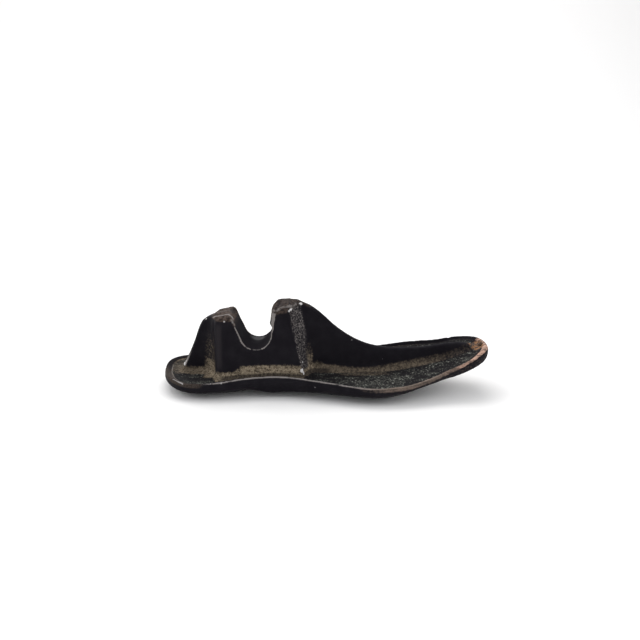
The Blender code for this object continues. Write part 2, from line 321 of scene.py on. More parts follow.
# The chamfer's rough part narrows downwards: how fast, from which height, and its soft edge.
CHAMFER_TAPER, CHAMFER_TOP_Z, CHAMFER_SIDE = 0.16, 46.0, (-0.5, 1.5)
CORNER_X, CORNER_OUT = (-21.0, -11.5, 0.8), (10.4, 13.6, 0.6)
CORNER_FRONT, CORNER_Z = (0.10, 0.3), (12.5, 14.0)
NOTCH_X, NOTCH_Z, NOTCH_ASIDE = (-50.0, -27.0, 1.0), (23.0, 24.0), (0.6, 0.3)


class Site:
    """Where each point of the rounded casting lies, and its share in each part of the last."""

    def __init__(self, skin, cad, corners):
        self.normals = skin.normals()
        self.points = skin.points.copy()
        self.x, self.y, self.z = x, y, z = self.points.T
        self.across = np.abs(y - MIDDLE_Y)
        self.front, self.up = self.normals[:, 0], self.normals[:, 2]
        self.aside = np.abs(self.normals[:, 1])
        self.gap = distance_to(corners, self.points) / np.interp(x, *np.array(RIM_WIDTH).T)
        self.height = z - rim_level(cad, corners, self.points)
        self.over_floor = self.height + TRAY_DEPTH
        self.broad = skin.bulge(self.normals, BROAD_ROUNDS)

        self.near_side = ramp(y, *NEAR_Y)
        self.heel, self.toe, self.fore = ramp(x, *HEEL_X), ramp(x, *TOE_X), ramp(x, *FORE_X)
        self.inside = ramp(self.gap, *INSIDE_GAP)
        self.floor = self.inside * ramp(self.over_floor, *FLOOR_OVER) * ramp(self.up, *FLOOR_UP)
        tall = FILLET_TALL + sum(more * band(x, *limits) for more, limits in FILLET_MORE)
        self.fillet = self.inside * ramp(self.over_floor, *FILLET_FOOT)
        self.fillet *= ramp(self.over_floor, tall, tall - FILLET_SOFT)
        self.rim = ramp(self.gap, *RIM_GAP) * ramp(self.height, *RIM_HEIGHT)
        self.below = ramp(self.height, *BELOW_HEIGHT) * ramp(self.gap, *BELOW_GAP)
        self.post_top = band(x, *TOP_X) * ramp(z, *TOP_Z) * ramp(self.up, *TOP_UP)
        self.chamfer = band(x, *CHAMFER_X) * ramp(self.front, *CHAMFER_FRONT)
        self.chamfer *= band(self.aside, *CHAMFER_ASIDE) * ramp(z, *CHAMFER_Z)
        self.chamfer *= ramp(self.across - CHAMFER_TAPER * (CHAMFER_TOP_Z - z), *CHAMFER_SIDE)
        self.corner = band(self.across, *CORNER_OUT) * band(x, *CORNER_X)
        self.corner *= ramp(self.front, *CORNER_FRONT) * ramp(z, *CORNER_Z)
        self.notch = band(x, *NOTCH_X) * ramp(z, *NOTCH_Z) * ramp(self.aside, *NOTCH_ASIDE)


def near(points, place, far, close):
    """1 closer to the place than close, 0 farther than far."""
    return ramp(np.linalg.norm(points - place, axis=1), far, close)


def along(points, path, far, close):
    """The same, for a path."""
    return ramp(distance_to(path, points, False), far, close)


# Single marks: (x, y, z), radius, depth, and how much is painted light grey: bare metal, and on the
# three marks low on the heel's spine a painted highlight. A negative depth is a lump.
MARKS = (
    ((85.0, 4.2, 23.2), 2.0, 1.3, 0.0),
    ((71.0, 19.8, 22.7), 1.5, 0.9, 0.0),
    ((-20.0, -9.0, 45.2), 1.2, 0.4, 1.0),
    ((-12.9, -12.2, 13.7), 1.7, -0.3, 1.0),
    ((-12.5, -11.0, 11.8), 1.5, -0.2, 0.9),
    ((-12.7, -9.3, 17.5), 0.9, 0.2, 0.8),
    ((13.5, -1.0, 27.2), 0.9, 0.25, 0.4),
    ((-25.7, -11.5, 36.8), 0.6, 0.2, 0.5),
    ((-49.7, -11.5, 29.4), 0.6, 0.2, 0.6),
    ((30.6, -1.4, 16.8), 0.5, 0.2, 0.5),
    ((-54.2, -20.2, 9.2), 0.8, -0.2, 0.5),
    ((-59.6, -20.6, 9.0), 0.6, -0.2, 0.5),
    ((-6.3, -20.2, 7.7), 0.8, 0.2, 0.4),
    ((-56.7, -10.6, 39.8), 0.9, 0.3, 0.9),
    ((-55.8, -10.6, 39.5), 0.7, 0.2, 0.7),
    ((-53.3, -10.6, 39.5), 0.8, 0.3, 0.6),
    ((-64.2, -1.0, 38.2), 0.8, 0.2, 0.7),
    ((-76.8, -0.6, 12.6), 1.4, 0.1, 1.0),
    ((-76.0, -0.9, 14.4), 1.0, 0.1, 0.8),
    ((-75.0, -0.9, 17.2), 0.9, 0.1, 0.5),
)
# Small chips on the sharpest edges: how many, from which share of the points, their radius, their
# depth as a share of it, and how bare they are.
CHIPS, CHIP_SEED, CHIP_EDGES = 120, 11, 0.93
CHIP_RADIUS, CHIP_DEPTH, CHIP_BARE = (0.45, 1.0), (0.12, 0.28), (0, 0.33)
MARK_FADE = (0.9, 0.4)


def dents(points, bulge):
    """Depth, and the share painted light grey, of the single marks and of small chips strewn along the
    edges: bare metal, and painted highlights on the heel's spine.
    """
    rng = np.random.default_rng(CHIP_SEED)
    depth, bare_and_highlight = np.zeros(len(points)), np.zeros(len(points))
    marks = list(MARKS)
    edges = np.flatnonzero(bulge > np.quantile(bulge, CHIP_EDGES))
    for k in rng.choice(edges, CHIPS, replace=False):
        radius = rng.uniform(*CHIP_RADIUS)
        marks.append((tuple(points[k]), radius, radius * rng.uniform(*CHIP_DEPTH),
                      rng.uniform(*CHIP_BARE)))
    for place, radius, deep, shine in marks:
        gap = np.linalg.norm(points - place, axis=1) / radius
        depth += deep * ramp(gap, 1.0, 0.0)
        bare_and_highlight = np.maximum(bare_and_highlight, shine * ramp(gap, *MARK_FADE))
    return depth, bare_and_highlight


# Broad hollows in the post tops: centre, half sizes, depth.
HOLLOWS = (
    ((-26.2, -2.5, 48.0), (3.0, 6.0, 4.0), 1.5),
    ((-49.6, 3.5, 42.5), (3.3, 8.0, 4.0), 0.9),
)
HOLLOW_SIDES, HOLLOW_MASK = (1.0, 0.1), (1.0, 0.5)


def hollows(points):
    """How far each point sinks, and a mask of the hollows."""
    sink, mask = np.zeros(len(points)), np.zeros(len(points))
    for centre, half, deep in HOLLOWS:
        gap = np.linalg.norm((points - centre) / half, axis=1)
        sink += deep * ramp(gap, *HOLLOW_SIDES)
        mask = np.maximum(mask, ramp(gap, *HOLLOW_MASK))
    return sink, mask


# Lines in plan: the lip of each post top, worn and with a painted highlight, and the heel's bead, where
# a highlight is painted.
FRONT_LIP = (
    (-28.0, -8.2), (-25.0, -7.6), (-23.3, -7.0), (-20.3, -6.6), (-18.3, -5.4), (-16.8, -3.0),
)
HEEL_LIP = (
    (-61.0, -3.5), (-58.8, -5.8), (-56.0, -6.8), (-51.5, -7.6), (-48.6, -9.4), (-47.2, -10.8),
)
HEEL_BEAD = ((-80.2, -13.6), (-76.8, -17.0), (-74.0, -19.1))
# The front post's chipped corner.
CHIPPED_CORNER = ((-20.2, -9.6, 44.9), (-18.9, -7.6, 45.6), (-16.4, -4.2, 46.4), (-14.1, -1.0, 46.9))

# The rim's bead and the groove inside it: where, how high, half width; and the groove's share that
# is missing at the heel.
BEAD_GAP, BEAD_HIGH, BEAD_HALF = 0.9, 0.30, 0.55
GROOVE_GAP, GROOVE_DEEP, GROOVE_HALF, GROOVE_LOST = 2.45, 0.35, 0.5, 0.6
BEAD_UP = (-0.1, 0.3)
# Sand grain everywhere, pebbles on rough parts, lumps on the post tops: width, seed and height.
GRAIN, GRAIN_HIGH, DOTS, DOTS_HIGH = (2.6, 3), 0.014, (1.1, 5), 0.008
PEBBLES, PEBBLES_HIGH, GRIT, GRIT_HIGH = (1.25, 21), 0.08, (0.8, 22), 0.06
LUMPS, LUMPS_HIGH = (4.0, 31, 2), 0.25
# How rough the tray is, and how much more at the ball; the chamfer, heel rim and outer wall.
ROUGH_TRAY, ROUGH_BALL, ROUGH_BALL_X, ROUGH_MOST = 0.35, 0.9, (2.0, 62.0, 6.0), 1.2
ROUGH_CHAMFER, ROUGH_HEEL, ROUGH_WALL, ROUGH_TOE_WALL = 1.1, 0.4, 0.35, 0.5
# The front post's wall over the notch, which is chipped: where, and how far it stands out.
WALL_X, WALL_Y, WALL_Z, WALL_BACK = (-33.0, -25.0, 1.0), (-9.5, 3.0, 1.5), (37.0, 46.5, 1.5), (0.5, 0.8)
WALL_OUT, WALL_UNEVEN, WALL_NOISE = 1.4, 0.6, (3.6, 61)
LIP_HIGH, LIP_SIDES = 0.35, (1.6, 0.3)


def roughen(skin, site, edge):
    """Gives the surface its relief. Returns masks of bare metal with painted highlights, of hollows and
    of ridges.
    """
    points, gap = site.points, site.gap
    bead = BEAD_HIGH * np.exp(-((gap - BEAD_GAP) / BEAD_HALF) ** 2)
    groove = GROOVE_DEEP * np.exp(-((gap - GROOVE_GAP) / GROOVE_HALF) ** 2)
    bead -= groove * (1 - GROOVE_LOST * site.heel)
    bead *= ramp(site.height, *RIM_HEIGHT) * ramp(site.up, *BEAD_UP)
    grain = layered(points, *GRAIN) * GRAIN_HIGH + noise(points, *DOTS) * DOTS_HIGH
    pebbles = noise(points, *PEBBLES) * PEBBLES_HIGH + noise(points, *GRIT) * GRIT_HIGH
    rough = site.floor * (ROUGH_TRAY + ROUGH_BALL * band(site.x, *ROUGH_BALL_X))
    rough = rough + ROUGH_CHAMFER * site.chamfer + site.corner + ROUGH_HEEL * site.heel * site.rim
    rough = rough + ROUGH_WALL * site.below + ROUGH_TOE_WALL * site.toe * site.below
    heights = grain + pebbles * np.clip(rough, 0, ROUGH_MOST)
    heights = heights + layered(points, *LUMPS) * LUMPS_HIGH * site.post_top
    wall = band(site.x, *WALL_X) * ramp(-site.front, *WALL_BACK) * band(site.z, *WALL_Z)
    heights += wall * band(site.y, *WALL_Y) * (WALL_OUT + WALL_UNEVEN * noise(points, *WALL_NOISE))
    lips = [along(points, path, *LIP_SIDES) * site.post_top for path in (FRONT_LIP, HEEL_LIP)]
    heights += LIP_HIGH * np.maximum(*lips)
    depth, bare_and_highlight = dents(points, edge)
    sink, hollow = hollows(points)
    heights -= depth + sink * site.post_top
    skin.push(site.normals, heights)
    skin.points[:, 2] += bead
    skin.points[:, 2] = np.maximum(skin.points[:, 2], 0.0)
    ridge = skin.bulge(skin.normals(), FINE_ROUNDS)
    skin.store()
    return bare_and_highlight, hollow, ridge


PATCHES = (5.0, 41)
# Dust in the fillets: on faces that look up, in patches, and less of it at the toe and the ball.
FILLET_UP, FILLET_PATCHES = (-0.3, 0.45), (-2.4, -0.4)
FILLET_TOE_LESS, FILLET_TOE_X = 0.55, (45.0, 78.0)
WAIST_FILLET_X, WAIST_FILLET_OVER = (-46.0, -13.0, 1.5), (8.4, 5.0)
HOLLOW_DUST, HOLLOW_BROAD, HOLLOW_UP = 0.6, (0.3, 1.1), (-0.1, 0.3)
BALL_DUST, BALL_DUST_OUT, BALL_DUST_PATCHES = 0.8, (9.4, 7.2), (-2.0, -0.4)
FORE_LESS, FORE_LESS_X = 0.3, (0.0, 16.0)
# At the heel: none near the camera's side, and a thin even layer on the other.
HEEL_CLEAN_Y, HEEL_CLEAN_PATCHES = (-6.5, -9.5), (-1.5, -0.5)
HEEL_DUST, HEEL_DUST_MORE, HEEL_DUST_PATCHES, HEEL_DUST_Y = 0.35, 0.25, (-0.5, 0.8), (-6.0, -1.0)
# In the folds where the hub meets the web.
FOLD_DUST, FOLD_OUT, FOLD_X, FOLD_Z = 0.6, (1.5, 6.0, 0.8), (-12.0, -7.2, 0.8), (31.0, 13.0)
REAR_FOLD_X, REAR_FOLD_OUT = (-65.5, -58.8, 1.4), (2.0, 9.5, 1.0)
REAR_FOLD_LOW, REAR_FOLD_LOW_Z = 0.55, (19.0, 11.0)
REAR_FOLD_HIGH, REAR_FOLD_HIGH_Z = 0.30, (40.0, 22.0)
# Where the dust is paler than at the ball.
PALE_DUST_X = (-66.0, -6.0, 6.0)


def mark_dust(skin, site):
    """Dust in the fillets, in the hub's folds and on the heel."""
    x, y, z, up, heel, over = site.x, site.y, site.z, site.up, site.heel, site.over_floor
    patchy = layered(site.points, *PATCHES)
    dust = site.fillet * ramp(up, *FILLET_UP) * ramp(patchy, *FILLET_PATCHES)
    dust = dust * (1 - FILLET_TOE_LESS * ramp(x, *FILLET_TOE_X))
    waist = site.fillet * band(x, *WAIST_FILLET_X) * ramp(over, *WAIST_FILLET_OVER)
    hollow = HOLLOW_DUST * ramp(-site.broad, *HOLLOW_BROAD) * site.inside * ramp(up, *HOLLOW_UP)
    ball = BALL_DUST * site.floor * band(x, *BALL_DIP_X) * ramp(site.across, *BALL_DUST_OUT)
    ball = ball * ramp(patchy, *BALL_DUST_PATCHES)
    dust = np.max((dust, waist, hollow, ball), axis=0)
    dust *= 1 - FORE_LESS * ramp(x, *FORE_LESS_X)
    dust *= 1 - heel * ramp(y, *HEEL_CLEAN_Y) * ramp(patchy, *HEEL_CLEAN_PATCHES)
    thin = HEEL_DUST + HEEL_DUST_MORE * ramp(patchy, *HEEL_DUST_PATCHES)
    thin = heel * site.floor * thin * ramp(y, *HEEL_DUST_Y)
    fold = band(site.across, *FOLD_OUT) * band(x, *FOLD_X) * ramp(z, *FOLD_Z)
    rear_fold = band(x, *REAR_FOLD_X) * band(site.across, *REAR_FOLD_OUT)
    rear_fold *= REAR_FOLD_LOW * ramp(z, *REAR_FOLD_LOW_Z) + REAR_FOLD_HIGH * ramp(z, *REAR_FOLD_HIGH_Z)
    folds = np.maximum(FOLD_DUST * fold, rear_fold) * site.inside
    skin.mark("dust", np.max((dust, thin, folds), axis=0))
    skin.mark("waist", band(x, *PALE_DUST_X))


# The light line on the heel's spine, a painted highlight, which is brightest low down.
SPINE_X, SPINE_OUT, SPINE_EDGE, SPINE_OVER = (-60.0, -63.0), (3.2, 2.2), (0.05, 0.12), (2.5, 4.0)
SPINE_HIGHLIGHT, SPINE_MORE, SPINE_MORE_Z = 0.3, 0.7, (22.0, 13.0)
# Edges that get a light line, worn and painted as a highlight: the notch's edges and far wall, the
# web's top and the post tops' lips.
NOTCH_EDGE_X, NOTCH_EDGE_Z, NOTCH_EDGE = (-51.0, -24.0, 1.5), (23.0, 25.0), (0.09, 0.19)
FAR_LINE_X, FAR_LINE_Y = (-48.0, -40.5, 1.0), (11.0, 12.4, 0.4)
WEB_X, WEB_OVER, WEB_HIGHLIGHT, WEB_EDGE, WEB_UP = (-14.0, -8.0), (4.0, 6.0), 0.14, (0.05, 0.13), (0.1, 0.4)
FRONT_LIP_LINE, FRONT_LIP_HALF, HEEL_LIP_LINE, HEEL_LIP_HALF = 0.42, (1.0, 0.2), 0.6, (0.9, 0.2)
RIDGE_LINE, RIDGE_EDGE = 0.25, (0.04, 0.12)
CHIPPED_HALF, CHIPPED_NOISE, CHIPPED_PATCHES = (1.15, 0.5), (1.6, 71), (-0.9, 0.0)
HEEL_BEAD_HIGHLIGHT, HEEL_BEAD_HALF, HEEL_BEAD_UP = 0.5, (0.5, 0.15), (0.2, 0.5)


def mark_wear_and_highlights(skin, site, edge, bare_and_highlight, ridge):
    """Light lines on the notch's edges, the web's top, the heel's spine and the lips of the post tops,
    worn and painted as highlights; bare chips, with a painted highlight on the heel's bead.
    """
    points, x, z, over = site.points, site.x, site.z, site.over_floor
    spine = ramp(x, *SPINE_X) * ramp(site.across, *SPINE_OUT) * ramp(edge, *SPINE_EDGE)
    spine *= ramp(over, *SPINE_OVER) * (SPINE_HIGHLIGHT + SPINE_MORE * ramp(z, *SPINE_MORE_Z))
    notch_edge = band(x, *NOTCH_EDGE_X) * ramp(z, *NOTCH_EDGE_Z) * (1 - site.post_top)
    notch_edge = notch_edge * ramp(edge, *NOTCH_EDGE)
    far_line = site.notch * band(site.y, *FAR_LINE_Y) * band(x, *FAR_LINE_X)
    web_top = WEB_HIGHLIGHT * ramp(x, *WEB_X) * ramp(over, *WEB_OVER) * ramp(edge, *WEB_EDGE)
    lips = FRONT_LIP_LINE * along(points, FRONT_LIP, *FRONT_LIP_HALF)
    lips = lips + HEEL_LIP_LINE * along(points, HEEL_LIP, *HEEL_LIP_HALF)
    lips += RIDGE_LINE * ramp(ridge, *RIDGE_EDGE)
    skin.mark("wear_and_highlight", np.max((spine, notch_edge, far_line, web_top, lips * site.post_top), axis=0))
    chipped = along(points, CHIPPED_CORNER, *CHIPPED_HALF)
    chipped = chipped * ramp(noise(points, *CHIPPED_NOISE), *CHIPPED_PATCHES)
    # A painted highlight: a light streak along the heel's bead.
    heel_bead_highlight = HEEL_BEAD_HIGHLIGHT * along(points, HEEL_BEAD, *HEEL_BEAD_HALF)
    heel_bead_highlight = heel_bead_highlight * ramp(site.up, *HEEL_BEAD_UP)
    skin.mark("bare_and_highlight", np.max((bare_and_highlight, chipped, heel_bead_highlight), axis=0))


# The thin light line on the rim's bead, a painted highlight: weaker towards the toe. At the heel a
# light line runs inside the rim.
LINE_GAP = (0.55, 1.1, 0.2)
LINE_PARTS = ((0.35, (-62.0, 22.0, 4.0)), (0.65, (-62.0, 62.0, 8.0)))
HEEL_LINE, HEEL_LINE_GAP = 0.8, (2.55, 3.0, 0.2)
HEEL_LINE_Y, HEEL_LINE_HEIGHT = (14.0, 8.0), (-2.4, -1.4)
# The tan crest, which is wider and reaches lower at the toe, with a darker stripe on its outer side.
CREST_GAP, CREST_WIDER, CREST_HEIGHT, CREST_LOWER = (2.3, 1.9), 0.4, (-2.9, -1.0), 0.6
STRIPE_LOSS, STRIPE_HEIGHT, STRIPE_GAP, STRIPE_X = 0.3, (-1.3, -0.6, 0.2), (1.2, 0.7), (72.0, 82.0)
TIP_X, TIP_Y = (80.0, 86.0), (14.0, 7.0)
HEEL_RIM_GAP, HEEL_RIM_HEIGHT, HEEL_RIM_FAR, HEEL_RIM_NEAR = (3.0, 2.6), (-2.8, -1.4), 0.4, 0.6
# Painted shade: a dark line in the groove inside the bead, and at the foot of the waist's fillet.
DARK_GAP, DARK_REAR_X, DARK_TOE_X = (2.0, 2.7, 0.25), (-64.0, -58.0), (79.0, 72.0)
WAIST_DARK, WAIST_DARK_X, WAIST_DARK_OVER = 0.9, (-56.0, 2.0, 3.0), (0.2, 2.1, 0.25)


def mark_rim(skin, site):
    """The rim: a thin light line at the waist, a painted highlight on the bead; tan towards the toe,
    grey-brown round the heel, and painted shade in the groove inside the bead and at the waist fillet's
    foot.
    """
    x, y, gap, height, toe, heel = site.x, site.y, site.gap, site.height, site.toe, site.heel
    highlight_and_line = sum(share * band(x, *limits) for share, limits in LINE_PARTS)
    highlight_and_line = site.rim * site.near_side * highlight_and_line * band(gap, *LINE_GAP)
    heel_line = heel * site.inside * band(gap, *HEEL_LINE_GAP)
    heel_line = heel_line * ramp(y, *HEEL_LINE_Y) * ramp(height, *HEEL_LINE_HEIGHT)
    skin.mark("highlight_and_line", np.maximum(highlight_and_line, HEEL_LINE * heel_line))
    crest = ramp(gap, *(limit + CREST_WIDER * toe for limit in CREST_GAP))
    crest = crest * ramp(height, CREST_HEIGHT[0] + CREST_LOWER * toe, CREST_HEIGHT[1])
    stripe = band(height, *STRIPE_HEIGHT) * ramp(gap, *STRIPE_GAP) * (1 - ramp(x, *STRIPE_X))
    crest *= 1 - STRIPE_LOSS * stripe
    tan = crest * np.maximum(site.near_side, ramp(x, *TIP_X) * ramp(y, *TIP_Y))
    skin.mark("rimtan", tan * site.fore)
    skin.mark("toe", toe)
    skin.mark("fore", site.fore)
    heel_rim = heel * ramp(gap, *HEEL_RIM_GAP) * ramp(height, *HEEL_RIM_HEIGHT)
    skin.mark("heelrim", heel_rim * (HEEL_RIM_FAR + HEEL_RIM_NEAR * site.near_side))
    groove = site.rim * band(gap, *DARK_GAP) * ramp(x, *DARK_REAR_X) * ramp(x, *DARK_TOE_X)
    waist = site.inside * band(x, *WAIST_DARK_X) * band(site.over_floor, *WAIST_DARK_OVER)
    skin.mark("groove", np.maximum(groove, WAIST_DARK * waist) * site.near_side)


# Painted shade in the toe's pit and the hollows of the post tops, and the front post's whole top made
# darker.
PIT, PIT_SIZE, HOLLOW_SHADE = (85.0, 4.2, 23.2), (2.0, 1.0), 0.75
DARKER_TOP, DARKER_TOP_X = 0.5, (-31.0, -29.0)
RUST, RUST_SIZE, RUST_GAP = (82.6, 4.6, 22.8), (7.4, 3.4), (1.4, 1.9)
# Pale grains in the tray: at the ball, some at the toe, and few at the heel's near side.
PALE_X, PALE_OUT = (10.0, 42.0, 7.0), (8.0, 11.0)
PALE_TOE, PALE_TOE_X, DARK_HEEL, DARK_HEEL_Y = 0.6, (70.0, 80.0), 0.6, (-2.0, -6.0)
# The brown of the post tops spills a little over the posts' sides: width and seed of its uneven edge.
SPILL, SPILL_HIGH = (2.0, 81), 0.4
HEEL_SPILL_X, HEEL_SPILL_Z = (-60.0, -46.5, 0.7), (38.9, 39.7)
FRONT_SPILL_X, FRONT_SPILL_Z = (-29.0, -20.5, 1.0), (42.8, 44.2)
SPILL_SLOPE, SPILL_MIDDLE_X = 0.2, 25
# The soft sheen on the hub's rear corners, a painted highlight: the lacquer is painted lighter there.
SHEEN_X, SHEEN_OUT, SHEEN_ASIDE = (-57.8, -55.0, 0.9), (8.0, 9.5), (0.2, 0.5)
SHEEN_FOOT_Z, SHEEN_TOP_Z = (12.0, 16.0), (38.5, 36.0)
SPECKS, SPECKS_MORE, SPECKS_MORE_Z, LOWER_X = 0.5, 0.25, (20.0, 36.0), (20.0, 70.0)
POLISHED, POLISHED_SIZE = (-37.3, 8.0, 25.0), (6.0, 2.0)
FAR_RIM_GAP, DULL_TOP, DULL_HEEL, DULL_FAR_RIM = (4.0, 3.0), 0.6, 0.5, 0.8


def mark_parts(skin, site, hollow):
    """Painted shade in the pit and hollows, rust, a painted sheen, and the parts that have a colour or
    a gloss of their own.
    """
    points, x, y, z, floor, heel = site.points, site.x, site.y, site.z, site.floor, site.heel
    hollow_shade_and_dark_top = np.maximum(HOLLOW_SHADE * hollow, DARKER_TOP * ramp(x, *DARKER_TOP_X))
    skin.mark("painted_shade_and_dark_top", np.maximum(near(points, PIT, *PIT_SIZE), site.post_top * hollow_shade_and_dark_top))
    skin.mark("rust", near(points, RUST, *RUST_SIZE) * ramp(site.gap, *RUST_GAP))
    pale = band(x, *PALE_X) * ramp(site.across, *PALE_OUT)
    pale = floor * np.maximum(pale, PALE_TOE * floor * ramp(x, *PALE_TOE_X))
    skin.mark("pale", pale - DARK_HEEL * floor * heel * ramp(y, *DARK_HEEL_Y))
    skin.mark("tray", floor)
    uneven = z + SPILL_HIGH * noise(points, *SPILL)
    slope = SPILL_SLOPE * (x + SPILL_MIDDLE_X)
    spill = np.maximum(band(x, *HEEL_SPILL_X) * ramp(uneven, *HEEL_SPILL_Z),
                       band(x, *FRONT_SPILL_X) * ramp(uneven - slope, *FRONT_SPILL_Z))
    skin.mark("top", np.maximum(site.post_top, spill))
    sheen = band(x, *SHEEN_X) * ramp(site.across, *SHEEN_OUT) * ramp(z, *SHEEN_FOOT_Z)
    skin.mark("sheen", sheen * ramp(z, *SHEEN_TOP_Z) * ramp(site.aside, *SHEEN_ASIDE))
    specks = SPECKS + SPECKS_MORE * ramp(z, *SPECKS_MORE_Z)
    skin.mark("chamfer", np.maximum(site.chamfer * specks, site.corner))
    skin.mark("lower", site.below * ramp(x, *LOWER_X))
    skin.mark("notch", site.notch)
    skin.mark("polish", site.notch * near(points, POLISHED, *POLISHED_SIZE))
    far_rim = ramp(site.gap, *FAR_RIM_GAP) * (1 - site.near_side)
    web_edge = ramp(x, *WEB_X) * ramp(site.over_floor, *WEB_OVER) * ramp(site.up, *WEB_UP)
    skin.mark("rough", floor + site.chamfer + site.corner + site.toe + DULL_TOP * site.post_top
              + DULL_HEEL * heel + DULL_FAR_RIM * far_rim + web_edge)


def worn_casting(node):
    """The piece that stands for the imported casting, with its masks."""
    piece = even_quads(node)
    cad = Skin(node.data).points
    corners = outline(cad)
    skin = Skin(piece.data)
    edge = round_off(skin, corners)
    site = Site(skin, cad, corners)
    bare_and_highlight, hollow, ridge = roughen(skin, site, edge)
    piece.data.shade_smooth()
    mark_dust(skin, site)
    mark_wear_and_highlights(skin, site, edge, bare_and_highlight, ridge)
    mark_rim(skin, site)
    mark_parts(skin, site, hollow)
    return piece


# ---------------------------------------------------------------- material

class Graph:
    """Short ways to add and link a material's nodes."""

    def __init__(self, material):
        material.use_nodes = True
        self.nodes, self.links = material.node_tree.nodes, material.node_tree.links
        self.place = self.nodes.new("ShaderNodeTexCoord").outputs["Object"]

    def feed(self, socket, value):
        if isinstance(value, bpy.types.NodeSocket):
            self.links.new(value, socket)
        else:
            socket.default_value = value

    def mask(self, name):
        node = self.nodes.new("ShaderNodeAttribute")
        node.attribute_name = name
        return node.outputs["Fac"]

    def noise(self, size, detail=2.0, rough=0.5, along=1.0):
        """Noise whose lumps are this wide, and this many times longer along X."""
        stretch = self.nodes.new("ShaderNodeVectorMath")
        stretch.operation = "MULTIPLY"
        self.feed(stretch.inputs[0], self.place)
        stretch.inputs[1].default_value = (1 / along, 1, 1)
        node = self.nodes.new("ShaderNodeTexNoise")
        self.feed(node.inputs["Vector"], stretch.outputs["Vector"])
        node.inputs["Scale"].default_value = 1 / (size * MM)
        node.inputs["Detail"].default_value = detail
        node.inputs["Roughness"].default_value = rough
        return node.outputs["Fac"]

    def spots(self, size):
        node = self.nodes.new("ShaderNodeTexVoronoi")
        self.feed(node.inputs["Vector"], self.place)
        node.inputs["Scale"].default_value = 1 / (size * MM)
        return node.outputs["Distance"]

    def math(self, operation, a, b=0.0):
        node = self.nodes.new("ShaderNodeMath")
        node.operation = operation
        self.feed(node.inputs[0], a)
        self.feed(node.inputs[1], b)
        return node.outputs["Value"]

    def times(self, *values):
        total = values[0]
        for value in values[1:]:
            total = self.math("MULTIPLY", total, value)
        return total

    def span(self, value, low, high, to_low=0.0, to_high=1.0):
        node = self.nodes.new("ShaderNodeMapRange")
        node.interpolation_type = "SMOOTHSTEP"
        self.feed(node.inputs["Value"], value)
        limits = {"From Min": low, "From Max": high, "To Min": to_low, "To Max": to_high}
        for name, number in limits.items():
            self.feed(node.inputs[name], number)
        return node.outputs["Result"]

    def broken(self, value, pattern, strength, low, high):
        """The value, made patchy by a pattern about 0.5, then sharpened between low and high."""
        shifted = self.math("ADD", value, self.times(self.math("SUBTRACT", pattern, 0.5), strength))
        return self.span(shifted, low, high)

    def mix(self, share, a, b, kind="RGBA"):
        node = self.nodes.new("ShaderNodeMix")
        node.data_type = kind
        own = [socket for socket in node.inputs if socket.enabled]
        for socket, value in zip(own, (share, a, b)):
            self.feed(socket, value)
        return next(socket for socket in node.outputs if socket.enabled)


LACQUER = (0.0080, 0.0069, 0.0092, 1.0)
LACQUER_GREY = (0.0112, 0.0100, 0.0125, 1.0)
# A painted sheen: the lacquer painted lighter where the hub's rear corners catch light.
PAINTED_SHEEN_GREY = (0.019, 0.0165, 0.019, 1.0)
TRAY_DARK = (0.011, 0.010, 0.011, 1.0)
TRAY_GREY = (0.052, 0.053, 0.046, 1.0)
TRAY_SPECK = (0.19, 0.19, 0.17, 1.0)
DUST_DARK = (0.046, 0.036, 0.026, 1.0)
DUST_TAN = (0.155, 0.123, 0.090, 1.0)
DUST_PALE = (0.30, 0.243, 0.172, 1.0)
TOP_DARK = (0.026, 0.019, 0.016, 1.0)
TOP_BROWN = (0.078, 0.057, 0.047, 1.0)
CHAMFER_GREY = (0.075, 0.068, 0.066, 1.0)
# The light greys: worn edges, bare chips and the chamfer's grains, and the highlights painted on edges,
# the rim's bead and the heel's spine.
WEAR_AND_HIGHLIGHT_GREY = (0.22, 0.20, 0.19, 1.0)
BARE_AND_HIGHLIGHT_GREY = (0.60, 0.58, 0.57, 1.0)
HEEL_BROWN = (0.056, 0.045, 0.039, 1.0)
RIM_TAN = (0.155, 0.118, 0.096, 1.0)
LINE_TAN = (0.21, 0.165, 0.135, 1.0)
TOE_PINK = (0.52, 0.33, 0.25, 1.0)
RUST_ORANGE = (0.23, 0.115, 0.056, 1.0)

# Patterns: how wide their lumps are in mm, and how many layers of detail they have.
COARSE, MEDIUM, FINE, SPECK = (6.0, 3), (1.3, 3), (0.5, 2), (0.85, 1)
STREAK, STREAK_LENGTH, SPOTS = (2.2, 3), 3.5, 0.7

# Where a pattern, which is 0.5 in the middle, starts and ends: two numbers, and two more for the
# shares there if they aren't 0 and 1.
GREYER, GRAINY = (0.4, 0.7), (0.36, 0.64)
WALL_SPECKS, WALL_PATCHES = (0.48, 0.64), (0.40, 0.60, 0.2, 0.8)
TRAY_STREAKS, TRAY_PALER = (0.38, 0.66), 0.55
TRAY_GRAINS, TRAY_GRAIN_SPECKS = (0.15, 1.1), (0.38, 0.60)
TRAY_LIGHTS, TRAY_LIGHT_SPECKS = (0.3, 1.0, 0.25, 1.0), (0.60, 0.70)
DUST_MOTES, TOP_PATCHES = (0.38, 0.62), (0.35, 0.65)
CHAMFER_DARK, CHAMFER_LIGHT, CHAMFER_LIGHT_SHARE = (0.40, 0.52), (0.57, 0.67), 0.75
PINK_FROM, RIM_GRAIN, RIM_GRAIN_SHARE = (0.1, 1.0), (0.3, 0.6), 0.55
RIM_STREAKS, RIM_STREAK_SHARE, GROOVE_SHADE_SHARE = (0.55, 0.42), 0.7, 0.8
LINE_GAPS, RUST_PATCHES, SHADE_SHARE, BARE_AND_HIGHLIGHT_FROM = (0.30, 0.5, 0.35, 1.0), (0.42, 0.58), 0.9, (0.2, 0.75)

